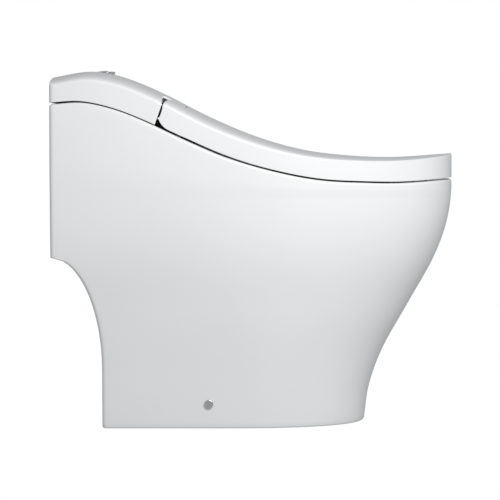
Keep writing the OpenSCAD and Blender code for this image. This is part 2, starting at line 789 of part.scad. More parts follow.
// ---- seat unit -------------------------------------------------------------------------------------

unit_front = well_front - 2;
unit_back = y_rear - china_t - 2;
module base_tray() {
    color("lightgray") difference() {
        box([-184, unit_front, ledge_z], [184, unit_back, unit_z]);
        box([-46, unit_front - 1, ledge_z - 1], [66, hinge_y + 50, unit_z + 1]);
        rod_z(ledge_z - 1, unit_z + 1, full_rod_x, valve_y, 6);
        rod_z(ledge_z - 1, unit_z + 1, half_rod_x, half_rod_y, 6);
        at_both_sides() for (y = tray_bolt_y) rod_z(ledge_z - 1, unit_z + 1, tray_bolt_x, y, 3.3);
    }
}
module tray_bolts() {
    color("silver") at_both_sides() for (y = tray_bolt_y) {
        rod_z(ledge_z - 24, unit_z + 0.1, tray_bolt_x, y, 2.95);
        rod_z(unit_z, unit_z + 3.5, tray_bolt_x, y, 4.8);
    }
}

// The wand's own frame: its Y runs back up the slope from the wand's tip, and its Z is square to the slope.
wand_x = -20;
wand_tip = [wand_x, well_front - 58.5, 428];
module on_wand() {
    translate(wand_tip) rotate([wand_slope, 0, 0]) children();
}
rack_pitch = PI;
rack_low = wand_r + 1;
rack_teeth = 44;
rack_tooth = [[2.4, -0.1], [1.7, 1.8], [0.9, 1.8], [0.2, -0.1]];
pinion_teeth = 16;
pinion_s = 120;
pinion_h = rack_low + 1 + pinion_teeth / 2 + 0.15;
rack_start = pinion_s - 1.3 - (rack_teeth - 14.5) * rack_pitch;
module wand_guide() {
    color("lightgray") on_wand() difference() {
        box([-15, 4, -13], [15, 106, 14.2]);
        box([-11, 3, -9.5], [11, 107, 11.6]);
    }
}
module spray_wand() {
    color("white") on_wand() union() {
        rod_y(8, 165, 0, 0, wand_r);
        box([-2.5, 26, 0], [2.5, 165, rack_low]);
        translate([-2.5, 0, 0]) rotate([90, 0, 90]) linear_extrude(5) polygon(concat(
            [[164, rack_low - 1]],
            [
                for (i = [rack_teeth - 1:-1:0]) for (p = rack_tooth)
                    [rack_start + i * rack_pitch + p[0], rack_low + p[1]]
            ],
            [[rack_start, rack_low - 1]]
        ));
    }
}
module wand_nozzle() {
    color("silver") on_wand() difference() {
        union() {
            rod_y(0, 8, 0, 0, wand_r);
            sphere(r = wand_r, $fn = 48);
        }
        for (y = [0, 4]) rod_z(4, 10, 0, y, 0.9);
        box([-10, -10, -10], [10, -5, 10]);
    }
}
// The pinion's outline has four points for each tooth: two at the root and two at the tip.
tooth_step = 360 / pinion_teeth;
tooth_points = [[-5.5, 6.7], [-2.2, 8.7], [2.2, 8.7], [5.5, 6.7]];
module wand_pinion() {
    color("white") on_wand() difference() {
        translate([-2.5, pinion_s, pinion_h]) rotate([90, 0, 90]) linear_extrude(5) polygon([
            for (i = [0:pinion_teeth - 1]) for (p = tooth_points)
                let (a = i * tooth_step + 90 + p[0]) [p[1] * cos(a), p[1] * sin(a)]
        ]);
        rod_x(-4, 4, pinion_s, pinion_h, 2 + run_gap);
    }
}
module wand_motor() {
    color("silver") on_wand() union() {
        rod_x(4, 24, pinion_s, pinion_h, 11);
        rod_x(-2.5, 5, pinion_s, pinion_h, 2);
        box([21, pinion_s - 9, -12], [24, pinion_s + 9, pinion_h]);
    }
}

// Warm-air duct and fan. The duct lies beside the wand on the same slope.
duct_x = fan_x - wand_x;
flap_pin_r = 1.2;
module dryer_duct() {
    color("lightgray") union() {
        difference() {
            on_wand() difference() {
                box([duct_x - 19, 4, -14], [duct_x + 19, 135, 14]);
                box([duct_x - 16, 3, -11], [duct_x + 16, 136, 11]);
            }
            rod_x(fan_x - 30, fan_x + 30, fan_y, fan_z, fan_r + 0.3);
        }
        on_wand() {
            for (s = [-1, 1]) box([duct_x + s * 20 - 1.4, -1, 8], [duct_x + s * 20 + 1.4, 12, 20]);
            rod_x(duct_x - 20, duct_x + 20, 1.5, 17, flap_pin_r);
        }
    }
}
module dryer_flap() {
    color("white") on_wand() difference() {
        union() {
            box([duct_x - 18, 0.5, -13], [duct_x + 18, 2.5, 15]);
            rod_x(duct_x - 18, duct_x + 18, 1.5, 17, 2.6);
        }
        rod_x(duct_x - 19, duct_x + 19, 1.5, 17, flap_pin_r + run_gap);
    }
}
module dryer_housing() {
    color("lightgray") difference() {
        rod_x(fan_x - 20, fan_x + 20, fan_y, fan_z, fan_r);
        rod_x(fan_x - 18, fan_x + 18, fan_y, fan_z, fan_r - 2);
        rod_x(fan_x - 21, fan_x - 17, fan_y, fan_z, 18);
        rod_x(fan_x + 17, fan_x + 21, fan_y, fan_z, 4);
        on_wand() box([duct_x - 15, 100, -10], [duct_x + 15, 160, 10]);
    }
}
module dryer_impeller() {
    color("gray") difference() {
        union() {
            rod_x(fan_x + 12, fan_x + 14, fan_y, fan_z, 30);
            rod_x(fan_x, fan_x + 14, fan_y, fan_z, 7);
            for (a = [0:15:345]) translate([0, fan_y, fan_z]) rotate([a, 0, 0])
                box([fan_x - 14, -0.7, 22], [fan_x + 13, 0.7, 29.5]);
            difference() {
                rod_x(fan_x - 15, fan_x - 13, fan_y, fan_z, 30);
                rod_x(fan_x - 16, fan_x - 12, fan_y, fan_z, 21.5);
            }
        }
        rod_x(fan_x - 1, fan_x + 15, fan_y, fan_z, 2.5 + run_gap);
    }
}
module dryer_motor() {
    color("silver") union() {
        rod_x(fan_x + 20.2, fan_x + 48, fan_y, fan_z, 17);
        rod_x(fan_x + 2, fan_x + 21, fan_y, fan_z, 2.5);
        box([fan_x + 26, fan_y - 12, unit_z], [fan_x + 44, fan_y + 12, fan_z - 10]);
    }
}

heater_low = [-172, y_rear - 150, unit_z];
heater_high = [-66, y_rear - 86, unit_z + 50];
module heater_tank() {
    color("whitesmoke") union() {
        box(heater_low, heater_high);
        for (y = [12:20:52]) rod_x(-170, -68, heater_low[1] + y, heater_high[2] + 2, 5);
        rod_y(heater_high[1] - 1, heater_high[1] + 8, -150, unit_z + 20, 4);
        rod_x(heater_high[0] - 1, heater_high[0] + 5, heater_high[1] - 10, unit_z + 14, 4);
    }
}
valve_low = [-170, y_rear - 62, unit_z];
module inlet_valve() {
    color("whitesmoke") union() {
        box(valve_low, [-116, y_rear - 26, unit_z + 18]);
        rod_z(unit_z + 18, unit_z + 44, -156, y_rear - 44, 11);
        rod_z(unit_z + 18, unit_z + 38, -130, y_rear - 44, 9);
        rod_y(y_rear - 68, y_rear - 61, -150, unit_z + 9, 4);
    }
}
selector_low = [-58, y_rear - 128, unit_z];
module flow_selector() {
    color("whitesmoke") union() {
        box(selector_low, [-34, y_rear - 98, unit_z + 26]);
        rod_y(y_rear - 136, y_rear - 127, -40, unit_z + 14, 3.5);
    }
}
module selector_motor() {
    color("silver") rod_z(unit_z + 26, unit_z + 44, -46, y_rear - 113, 11);
}
hose_r = 4;
module water_hoses() {
    v = y_rear;
    color("steelblue") union() {
        hose([
            [-150, v - 68.2, unit_z + 9], [-150, v - 71, unit_z + 11], [-150, v - 74, unit_z + 15],
            [-150, v - 76, unit_z + 19], [-150, v - 77.7, unit_z + 20]
        ], hose_r);
        hose([
            [-60.8, v - 96, unit_z + 14], [-56, v - 92, unit_z + 14], [-52, v - 88, unit_z + 14],
            [-47, v - 88, unit_z + 14], [-44, v - 92, unit_z + 14], [-44, v - 97.8, unit_z + 14]
        ], 3, [0, 0, 1]);
    }
}
module water_inlet() {
    color("silver") difference() {
        union() {
            rod_y(y_rear - 11, y_rear - 1, -rear_hole_x, rear_hole_z, thread_r);
            rod_y(tank_back - 12, y_rear - 10, -rear_hole_x, rear_hole_z, thread_r - 1);
            rod_y(tank_back - tank_t - 6, tank_back - tank_t, -rear_hole_x, rear_hole_z, 15);
        }
        rod_y(tank_back - 13, y_rear, -rear_hole_x, rear_hole_z, 7);
    }
}
module power_inlet() {
    color("dimgray") difference() {
        union() {
            rod_y(y_rear - 22, y_rear - 1.5, rear_hole_x, rear_hole_z, rear_hole_r - 0.4);
            rod_y(y_rear - china_t - 5, y_rear - china_t - 0.1, rear_hole_x, rear_hole_z, rear_hole_r + 4);
        }
        rod_y(y_rear - 23, y_rear, rear_hole_x, rear_hole_z, 4);
    }
}
module deodorizer_filter() {
    color("darkgray") difference() {
        box([104, y_rear - 160, unit_z], [166, y_rear - 114, unit_z + 34]);
        for (x = [110:8:158]) box([x, y_rear - 161, unit_z + 5], [x + 4, y_rear - 154, unit_z + 29]);
    }
}
board_low = [70, y_rear - 102, unit_z + 8];
// The board's parts: left side, front side, width, depth and height.
board_chips = [[80, -94, 24, 18, 6], [112, -90, 14, 14, 3], [136, -94, 20, 22, 16], [84, -60, 30, 12, 10]];
module control_board() {
    color("seagreen") union() {
        box(board_low, [166, y_rear - 22, unit_z + 9.6]);
        for (p = board_chips)
            box([p[0], y_rear + p[1], unit_z + 9], [p[0] + p[2], y_rear + p[1] + p[3], unit_z + 9.6 + p[4]]);
        for (x = [90:14:146]) rod_z(unit_z + 9, unit_z + 22, x, y_rear - 32, 5);
        for (x = [74, 162], y = [-98, -26]) rod_z(unit_z, unit_z + 9, x, y_rear + y, 3);
    }
}
cover_low = [66, y_rear - 106, unit_z];
cover_high = [170, y_rear - 18, unit_z + 34];
module board_cover() {
    color("lightgray") difference() {
        box(cover_low, cover_high);
        box(cover_low + [2, 2, -1], cover_high - [2, 2, 2]);
        for (x = [80:10:150])
            box([x, y_rear - 85, cover_high[2] - 3], [x + 4, y_rear - 45, cover_high[2] + 1]);
    }
}
module wiring_harness() {
    v = y_rear;
    color("black") hose([
        [65.6, v - 60, unit_z + 4], [50, v - 60, unit_z + 4], [34, v - 66, unit_z + 4],
        [16, v - 90, unit_z + 4], [0, v - 100, unit_z + 4], [-18, v - 92, unit_z + 4],
        [-30, v - 72, unit_z + 4], [-46, v - 64, unit_z + 4], [-80, v - 62, unit_z + 4],
        [-100, v - 58, unit_z + 4], [-113, v - 54, unit_z + 4]
    ], 2.5, [0, 0, 1], 8);
}
module night_light() {
    color("lightyellow") on_wand() union() {
        rod_y(2, 12, 19, 12, 3);
        rod_y(12, 15, 19, 12, 2);
    }
}

ceramic_foot();
ceramic_middle();
ceramic_rim();
trapway();
outlet_connector();
outlet_seal();
floor_brackets();
fixing_screws();
side_screw_caps();
flush_tank();
tank_lid();
fill_valve();
fill_valve_float();
flush_valve_body();
lift_tube();
flush_washer();
flush_rocker();
full_flush_button();
full_flush_rod();
half_flush_button();
half_flush_rod();
button_bezel();
rear_cover();
hinge_cover();
hinge_carrier();
hinge_pins();
lid_damper();
seat_damper();
lid_shell();
lid_hinge_arms();
lid_bumpers();
seat_top();
seat_base();
seat_heater();
seat_hinge_arms();
seat_bumpers();
base_tray();
tray_bolts();
wand_guide();
spray_wand();
wand_nozzle();
wand_pinion();
wand_motor();
dryer_duct();
dryer_flap();
dryer_housing();
dryer_impeller();
dryer_motor();
heater_tank();
inlet_valve();
flow_selector();
selector_motor();
water_hoses();
water_inlet();
deodorizer_filter();
control_board();
board_cover();
power_inlet();
wiring_harness();
night_light();
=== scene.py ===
"""One-piece electric bidet toilet in front of plain white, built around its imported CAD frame."""
import json
import math

import bmesh
import bpy
import numpy as np
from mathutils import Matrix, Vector


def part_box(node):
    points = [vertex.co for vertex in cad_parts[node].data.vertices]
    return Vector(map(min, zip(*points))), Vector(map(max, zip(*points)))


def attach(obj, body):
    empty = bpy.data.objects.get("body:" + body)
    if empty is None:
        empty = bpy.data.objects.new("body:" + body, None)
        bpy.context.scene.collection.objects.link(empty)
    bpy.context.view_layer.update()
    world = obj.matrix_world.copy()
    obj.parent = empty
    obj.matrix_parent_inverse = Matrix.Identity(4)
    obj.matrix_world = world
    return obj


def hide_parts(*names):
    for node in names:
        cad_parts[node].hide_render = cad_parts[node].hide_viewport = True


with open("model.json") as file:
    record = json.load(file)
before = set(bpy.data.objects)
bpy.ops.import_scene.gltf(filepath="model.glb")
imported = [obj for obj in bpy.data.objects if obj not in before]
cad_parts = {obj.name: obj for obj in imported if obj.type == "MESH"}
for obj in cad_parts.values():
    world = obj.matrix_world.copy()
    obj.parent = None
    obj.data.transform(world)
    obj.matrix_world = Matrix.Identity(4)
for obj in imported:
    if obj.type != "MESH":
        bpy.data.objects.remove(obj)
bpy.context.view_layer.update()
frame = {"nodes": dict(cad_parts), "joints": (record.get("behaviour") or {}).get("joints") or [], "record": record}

MM = 0.001

# ---- driving sizes, in millimetres: the outer ones from the frame, the rest as in the CAD model --------

CERAMIC = ("ceramic_foot", "ceramic_middle", "ceramic_rim")
ceramic_boxes = [[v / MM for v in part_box(node)] for node in CERAMIC]
Y_NOSE = min(low.y for low, high in ceramic_boxes)
Y_REAR = max(high.y for low, high in ceramic_boxes)
HALF_W = max(high.x for low, high in ceramic_boxes)
hinge_joint = next(j for j in frame["joints"] if j["name"] == "lid_hinge")
HINGE_Y, HINGE_Z = hinge_joint["pos_m"][1] / MM, hinge_joint["pos_m"][2] / MM
FOOT_HALF = 155
CORNER_R = 7
CHINA_T = 12
SHELL_T = 3
SEAM_GAP = 2.6
COVER_GAP = 1.5
LID_CORNER = 16
BARREL_R = 14.5
NOSE_R = 23
NOSE_HALF = 129.5
LEDGE_HALF = 186
ARM_HALF = 149.5
SIDE_Y = 50
NOSE_POWER = 2.4
# A height where the body's outline is at its full size, and one that is above everything.
FULL_Z = 500
ABOVE_Z = 620
UNDERCUT_Z = (100, 286)
UNDERCUT_DEPTH = 82.5
PORT_X, PORT_Z, PORT_R = 120, 420, 16
VALVE_X, VALVE_Y = 48, Y_REAR - 73.5
BUTTON_Y, BUTTON_HOLE_R = Y_REAR - 80, 17.3


# ---- curves of the body, the same as the CAD model's -------------------------------------------------

def hermite(knots, at):
    """Smooth curve through sorted knots (position, value), for an array of positions."""
    xs, ys = np.array(knots, float).T
    slopes = np.empty_like(ys)
    slopes[1:-1] = (ys[2:] - ys[:-2]) / (xs[2:] - xs[:-2])
    slopes[0] = (ys[1] - ys[0]) / (xs[1] - xs[0])
    slopes[-1] = (ys[-1] - ys[-2]) / (xs[-1] - xs[-2])
    at = np.clip(np.asarray(at, float), xs[0], xs[-1])
    i = np.clip(np.searchsorted(xs, at, side="right") - 1, 0, len(xs) - 2)
    h = xs[i + 1] - xs[i]
    u = (at - xs[i]) / h
    return ((2 * u**3 - 3 * u**2 + 1) * ys[i] + (u**3 - 2 * u**2 + u) * h * slopes[i]
            + (3 * u**2 - 2 * u**3) * ys[i + 1] + (u**3 - u**2) * h * slopes[i + 1])


SEAM = [(Y_NOSE, 414), (Y_NOSE + 90, 408.5), (Y_NOSE + 150, 409), (Y_NOSE + 230, 413.5),
        (Y_REAR - 370, 427.5), (Y_REAR - 290, 450.7), (Y_REAR - 220, 480), (Y_REAR - 150, 512),
        (Y_REAR - 100, 530.5), (Y_REAR - 50, 540.5), (Y_REAR, 538)]
CROWN = [(Y_NOSE, 457.5), (Y_NOSE + 95, 451), (Y_NOSE + 175, 453.5), (Y_NOSE + 255, 463.5),
         (Y_REAR - 340, 486), (Y_REAR - 262, 518.5), (Y_REAR - 184, 558), (Y_REAR - 131, 581),
         (Y_REAR - 90, 593), (Y_REAR - 53, 596), (Y_REAR, 587)]
DROP = [(Y_NOSE, 4), (Y_NOSE + 100, 6.5), (Y_NOSE + 250, 12), (Y_REAR - 340, 16), (Y_REAR - 250, 20),
        (Y_REAR, 21)]
FRONT = [(0, 149.5), (60, 140.5), (123, 117.5), (200, 74.5), (279, 30.5), (341, 8), (403, 0), (700, 0)]
SIDE = [(0, FOOT_HALF), (100, FOOT_HALF + 6), (200, HALF_W - 25), (300, HALF_W - 8), (400, HALF_W - 1.5),
        (460, HALF_W), (700, HALF_W)]


def seam(y):
    return hermite(SEAM, y)


def crown(y):
    return hermite(CROWN, y)


def drop(y):
    return hermite(DROP, y)


def crease(y):
    return crown(y) - drop(y)


def front_y(z):
    return Y_NOSE + max(0.0, float(hermite(FRONT, z)))


def back_y(z):
    low, high = UNDERCUT_Z
    t = min(max((z - low) / (high - low), 0), 1)
    return Y_REAR - UNDERCUT_DEPTH * math.sqrt(1 - t * t)


def side_x(z):
    return min(HALF_W, float(hermite(SIDE, z)))


def plan_x(y):
    """Half-width of the top's outline at y."""
    t = np.clip((SIDE_Y - np.asarray(y, float)) / (SIDE_Y - Y_NOSE), 0, 1)
    return HALF_W * (1 - t**NOSE_POWER) ** (1 / NOSE_POWER)


def top_z(x, y):
    """Surface of the lid and the rear cover."""
    u = np.minimum(1, np.abs(x) / np.maximum(plan_x(y), 0.01))
    return crease(y) + drop(y) * np.sqrt(1 - u**2.2)


def barrel_z(y):
    return HINGE_Z + np.sqrt(np.maximum(BARREL_R**2 - (y - HINGE_Y) ** 2, 0))


def lid_z(x, y):
    return np.where(y > HINGE_Y - BARREL_R / 2, np.minimum(top_z(x, y), barrel_z(y)), top_z(x, y))


# ---- mesh helpers ------------------------------------------------------------------------------------

NOSE_STEPS = 44
SIDE_STEPS = 44
CORNER_STEPS = 6
BACK_STEPS = 30
COVER_STEPS = 30
WELD = 0.02


def side_and_back(w, start, back, r, steps):
    """The straight side from y = start, the round corner and the straight back of half an outline."""
    ys = np.linspace(start, back - r, steps + 1)[1:]
    side = np.stack([np.full_like(ys, w), ys], 1)
    c = np.radians(np.linspace(0, 90, CORNER_STEPS + 1))[1:]
    corner = np.stack([w - r + r * np.cos(c), back - r + r * np.sin(c)], 1)
    xs = np.linspace(w - r, 0, BACK_STEPS + 1)[1:]
    rear = np.stack([xs, np.full_like(xs, back)], 1)
    return np.concatenate([side, corner, rear])


def half_outline(w, front, back, r):
    """Half of a plan outline, from the nose to the middle of the back, as an array of x, y."""
    a = np.radians(np.linspace(0, 90, NOSE_STEPS + 1))
    nose = np.stack([w * np.sin(a) ** (2 / NOSE_POWER),
                     SIDE_Y - (SIDE_Y - front) * np.cos(a) ** (2 / NOSE_POWER)], 1)
    return np.concatenate([nose, side_and_back(w, SIDE_Y, back, r, SIDE_STEPS)])


def closed(half):
    mirrored = half[-2:0:-1] * np.array([-1, 1])
    return np.concatenate([half, mirrored])


def with_z(points, z):
    z = np.broadcast_to(np.asarray(z, float), (len(points),))
    return np.column_stack([points, z])


def place(name, data):
    """A new object with the data, linked to the scene."""
    obj = bpy.data.objects.new(name, data)
    bpy.context.scene.collection.objects.link(obj)
    return obj


def edit(mesh, action):
    """Runs the action on a bmesh of the mesh and writes it back."""
    bm = bmesh.new()
    bm.from_mesh(mesh)
    action(bm)
    bm.to_mesh(mesh)
    bm.free()


def face_outwards(bm):
    bmesh.ops.recalc_face_normals(bm, faces=bm.faces)


def loft(name, rings, cap_first=False, cap_last=False, loop=False):
    """A mesh through rings of the same number of points, given in millimetres."""
    n = len(rings[0])
    verts = np.concatenate(rings) * MM
    faces = []
    bands = len(rings) if loop else len(rings) - 1
    for j in range(bands):
        k = (j + 1) % len(rings)
        for i in range(n):
            i2 = (i + 1) % n
            faces.append((j * n + i, k * n + i, k * n + i2, j * n + i2))
    if cap_first:
        faces.append(tuple(range(n)))
    if cap_last:
        faces.append(tuple(reversed(range((len(rings) - 1) * n, len(rings) * n))))
    mesh = bpy.data.meshes.new(name)
    mesh.from_pydata(verts.tolist(), [], faces)
    edit(mesh, lambda bm: bmesh.ops.remove_doubles(bm, verts=bm.verts, dist=WELD * MM))
    edit(mesh, face_outwards)
    return place(name, mesh)


def apply_modifiers(obj):
    graph = bpy.context.evaluated_depsgraph_get()
    mesh = bpy.data.meshes.new_from_object(obj.evaluated_get(graph))
    obj.modifiers.clear()
    old = obj.data
    obj.data = mesh
    bpy.data.meshes.remove(old)


def smooth(obj, angle=32):
    """Smooth shading with edges sharper than the angle left crisp."""
    limit = math.radians(angle)

    def mark(bm):
        for e in bm.edges:
            e.smooth = not (len(e.link_faces) == 2 and e.calc_face_angle() > limit)
        for f in bm.faces:
            f.smooth = True

    edit(obj.data, mark)


def cutter(low, high):
    """A box between two corners in millimetres, for a boolean cut."""
    low, high = np.array(low, float), np.array(high, float)
    corners = [low + (high - low) * np.array([i & 1, i >> 1 & 1, i >> 2 & 1]) for i in range(8)]
    mesh = bpy.data.meshes.new("cutter")
    quads = [(0, 2, 3, 1), (4, 5, 7, 6), (0, 1, 5, 4), (2, 6, 7, 3), (0, 4, 6, 2), (1, 3, 7, 5)]
    mesh.from_pydata((np.array(corners) * MM).tolist(), [], quads)
    return place("cutter", mesh)


def drum(at, axis, r, depth, segments=64):
    """A cylinder cutter centred on a point, in millimetres, along a world axis."""
    bm = bmesh.new()
    bmesh.ops.create_cone(bm, cap_ends=True, segments=segments, radius1=r * MM, radius2=r * MM,
                          depth=depth * MM)
    turn = Vector((0, 0, 1)).rotation_difference(Vector(axis)).to_matrix().to_4x4()
    bmesh.ops.transform(bm, matrix=turn, verts=bm.verts)
    bmesh.ops.translate(bm, vec=Vector(at) * MM, verts=bm.verts)
    mesh = bpy.data.meshes.new("drum")
    bm.to_mesh(mesh)
    bm.free()
    return place("drum", mesh)


def cut(obj, *tools):
    for tool in tools:
        mod = obj.modifiers.new("cut", "BOOLEAN")
        mod.operation = "DIFFERENCE"
        mod.solver = "EXACT"
        mod.object = tool
        apply_modifiers(obj)
        bpy.data.objects.remove(tool)


def slice_mesh(obj, planes):
    """Cuts new edges where each plane (point, normal) crosses the mesh."""
    def bisect(bm):
        for point, normal in planes:
            geometry = bm.verts[:] + bm.edges[:] + bm.faces[:]
            bmesh.ops.bisect_plane(bm, geom=geometry, dist=1e-6, plane_co=Vector(point) * MM,
                                   plane_no=Vector(normal))

    edit(obj.data, bisect)


def both_sides(x):
    """The two upright planes at x and -x, for slice_mesh."""
    return [((x, 0, 0), (1, 0, 0)), ((-x, 0, 0), (1, 0, 0))]


def level(z):
    """The flat plane at z, for slice_mesh."""
    return ((0, 0, z), (0, 0, 1))


def across(y):
    """The upright plane at y, for slice_mesh."""
    return ((0, y, 0), (0, 1, 0))


def drop_faces(obj, inside):
    """Deletes faces whose middle, in millimetres, is inside."""
    def delete(bm):
        doomed = [f for f in bm.faces if inside(f.calc_center_median() / MM)]
        bmesh.ops.delete(bm, geom=doomed, context="FACES")

    edit(obj.data, delete)


def bevel_edges(obj, width, segments, angle):
    """Rounds the edges that are sharper than the angle, in degrees."""
    bevel = obj.modifiers.new("round", "BEVEL")
    bevel.width = width * MM
    bevel.segments = segments
    bevel.limit_method = "ANGLE"
    bevel.angle_limit = math.radians(angle)
    apply_modifiers(obj)


def thicken(obj):
    """Gives a skin its wall thickness inwards, with a small round on its rims."""
    solid = obj.modifiers.new("wall", "SOLIDIFY")
    solid.thickness = SHELL_T * MM
    solid.offset = -1
    solid.use_even_offset = True
    bevel_edges(obj, 0.7, 2, 60)


# ---- materials ---------------------------------------------------------------------------------------

def new_material(name):
    mat = bpy.data.materials.new(name)
    mat.use_nodes = True
    tree = mat.node_tree
    return mat, tree, tree.nodes["Principled BSDF"]


def noise(tree, scale, detail):
    coords = tree.nodes.new("ShaderNodeTexCoord")
    node = tree.nodes.new("ShaderNodeTexNoise")
    node.inputs["Scale"].default_value = scale
    node.inputs["Detail"].default_value = detail
    node.inputs["Roughness"].default_value = 0.5
    tree.links.new(coords.outputs["Object"], node.inputs["Vector"])
    return node


def roughened(tree, shader, source, low, high):
    """Varies the shader's roughness between low and high by a noise."""
    spread = tree.nodes.new("ShaderNodeMapRange")
    spread.inputs["To Min"].default_value = low
    spread.inputs["To Max"].default_value = high
    tree.links.new(source.outputs["Fac"], spread.inputs["Value"])
    tree.links.new(spread.outputs["Result"], shader.inputs["Roughness"])


def tinted(tree, shader, source, dark, light):
    ramp = tree.nodes.new("ShaderNodeValToRGB")
    ramp.color_ramp.elements[0].position = 0.3
    ramp.color_ramp.elements[1].position = 0.7
    ramp.color_ramp.elements[0].color = (*dark, 1)
    ramp.color_ramp.elements[1].color = (*light, 1)
    tree.links.new(source.outputs["Fac"], ramp.inputs["Fac"])
    tree.links.new(ramp.outputs["Color"], shader.inputs["Base Color"])


def bumped(tree, shader, source, strength, distance):
    bump = tree.nodes.new("ShaderNodeBump")
    bump.inputs["Strength"].default_value = strength
    bump.inputs["Distance"].default_value = distance
    tree.links.new(source.outputs["Fac"], bump.inputs["Height"])
    tree.links.new(bump.outputs["Normal"], shader.inputs["Normal"])


def surface(name, color, spread, rough, metallic=0.0, grain=400.0, bump=0.05, coat=0.0, tint_scale=6.0):
    """A plain material whose colour, roughness and relief vary by noise."""
    mat, tree, shader = new_material(name)
    broad = noise(tree, tint_scale, 4)
    fine = noise(tree, grain, 2)
    light = tuple(min(1, c * (1 + spread)) for c in color)
    dark = tuple(c * (1 - spread) for c in color)
    tinted(tree, shader, broad, dark, light)
    roughened(tree, shader, fine, *rough)
    bumped(tree, shader, fine, bump, 0.0002)
    shader.inputs["Metallic"].default_value = metallic
    shader.inputs["Coat Weight"].default_value = coat
    shader.inputs["Coat Roughness"].default_value = 0.04
    return mat


def brushed(name, color, rough=(0.22, 0.38), stretch=(1, 1, 60)):
    """Metal with fine lines across the stretched axis."""
    mat, tree, shader = new_material(name)
    coords = tree.nodes.new("ShaderNodeTexCoord")
    mapping = tree.nodes.new("ShaderNodeMapping")
    mapping.inputs["Scale"].default_value = stretch
    lines = tree.nodes.new("ShaderNodeTexNoise")
    lines.inputs["Scale"].default_value = 60
    tree.links.new(coords.outputs["Object"], mapping.inputs["Vector"])
    tree.links.new(mapping.outputs["Vector"], lines.inputs["Vector"])
    tinted(tree, shader, lines, tuple(c * 0.9 for c in color), color)
    roughened(tree, shader, lines, *rough)
    bumped(tree, shader, lines, 0.08, 0.0001)
    shader.inputs["Metallic"].default_value = 1.0
    return mat


def glazed(name):
    """Glossy glaze: near-white, with the faint waviness that fired china has."""
    mat, tree, shader = new_material(name)
    broad = noise(tree, 3.5, 3)
    wave = noise(tree, 22, 2)
    tinted(tree, shader, broad, (0.865, 0.87, 0.87), (0.905, 0.905, 0.90))
    roughened(tree, shader, wave, 0.10, 0.17)
    bumped(tree, shader, wave, 0.10, 0.0006)
    shader.inputs["Coat Weight"].default_value = 0.35
    shader.inputs["Coat Roughness"].default_value = 0.03
    return mat


def circuit(name):
    mat, tree, shader = new_material(name)
    coords = tree.nodes.new("ShaderNodeTexCoord")
    bricks = tree.nodes.new("ShaderNodeTexBrick")
    bricks.inputs["Scale"].default_value = 120
    bricks.inputs["Color1"].default_value = (0.02, 0.22, 0.09, 1)
    bricks.inputs["Color2"].default_value = (0.03, 0.28, 0.12, 1)
    bricks.inputs["Mortar"].default_value = (0.10, 0.42, 0.20, 1)
    tree.links.new(coords.outputs["Object"], bricks.inputs["Vector"])
    tree.links.new(bricks.outputs["Color"], shader.inputs["Base Color"])
    shader.inputs["Roughness"].default_value = 0.35
    return mat


MATERIALS = {
    "ceramic": glazed("glazed china"),
    "cover_white": surface("white resin", (0.89, 0.89, 0.89), 0.008, (0.15, 0.21), grain=900, bump=0.03,
                           coat=0.25),
    "chrome_trim": surface("chrome", (0.72, 0.73, 0.75), 0.03, (0.06, 0.12), 1.0, grain=300, bump=0.02),
    "steel": brushed("steel", (0.62, 0.63, 0.65)),
    "zinc_steel": surface("zinc plate", (0.50, 0.51, 0.54), 0.12, (0.35, 0.5), 1.0, grain=120,
                          tint_scale=70),
    "brass_fitting": brushed("brass", (0.72, 0.55, 0.26), (0.2, 0.35), (1, 40, 1)),
    "dark_plastic": surface("dark plastic", (0.045, 0.045, 0.05), 0.1, (0.45, 0.6), grain=1500, bump=0.15),
    "rubber_seal": surface("black rubber", (0.02, 0.02, 0.02), 0.2, (0.7, 0.85), grain=1200, bump=0.2),
    "soft_bumper": surface("grey rubber", (0.55, 0.55, 0.55), 0.05, (0.6, 0.75), grain=1000, bump=0.15),
    "tank_plastic": surface("natural polymer", (0.62, 0.63, 0.64), 0.05, (0.5, 0.62), grain=700, bump=0.12),
    "valve_white": surface("moulded white", (0.78, 0.78, 0.76), 0.03, (0.35, 0.5), grain=900, bump=0.08),
    "valve_orange": surface("moulded orange", (0.75, 0.22, 0.03), 0.06, (0.35, 0.5), grain=900, bump=0.08),
    "float_blue": surface("moulded blue", (0.03, 0.10, 0.42), 0.06, (0.35, 0.5), grain=900, bump=0.08),
    "wand_white": surface("wand resin", (0.86, 0.87, 0.88), 0.02, (0.12, 0.2), grain=800, bump=0.03,
                          coat=0.2),
    "unit_grey": surface("textured grey", (0.48, 0.49, 0.50), 0.04, (0.5, 0.65), grain=1600, bump=0.2),
    "damper_grey": surface("damper resin", (0.16, 0.165, 0.175), 0.06, (0.3, 0.42), grain=900, bump=0.06),
    "motor_can": brushed("motor can", (0.55, 0.56, 0.58), (0.25, 0.4), (40, 1, 1)),
    "heater_foil": surface("heater foil", (0.66, 0.42, 0.14), 0.15, (0.25, 0.45), 0.8, grain=250,
                           tint_scale=90),
    "hose_blue": surface("blue hose", (0.05, 0.14, 0.34), 0.08, (0.4, 0.5), grain=800, bump=0.1),
    "wire_black": surface("wire sleeve", (0.018, 0.018, 0.02), 0.2, (0.5, 0.65), grain=1500, bump=0.3),
    "circuit_green": circuit("circuit board"),
    "carbon_grey": surface("carbon felt", (0.04, 0.042, 0.045), 0.3, (0.8, 0.95), grain=1400, bump=0.5),
    "light_lens": surface("frosted lens", (0.85, 0.83, 0.70), 0.02, (0.3, 0.45), grain=900, bump=0.05),
}


def finish_piece(obj, slot_name, body, *nodes):
    """Gives a piece its material and its body, and hides the CAD nodes that it stands for."""
    obj.data.materials.clear()
    obj.data.materials.append(MATERIALS[slot_name])
    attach(obj, body)
    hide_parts(*nodes)


# ---- camera and light --------------------------------------------------------------------------------

CAMERA_AT = (-3.80, 0.009, 0.470)
CAMERA_PITCH = 2.71
CAMERA_FOV = 12.96


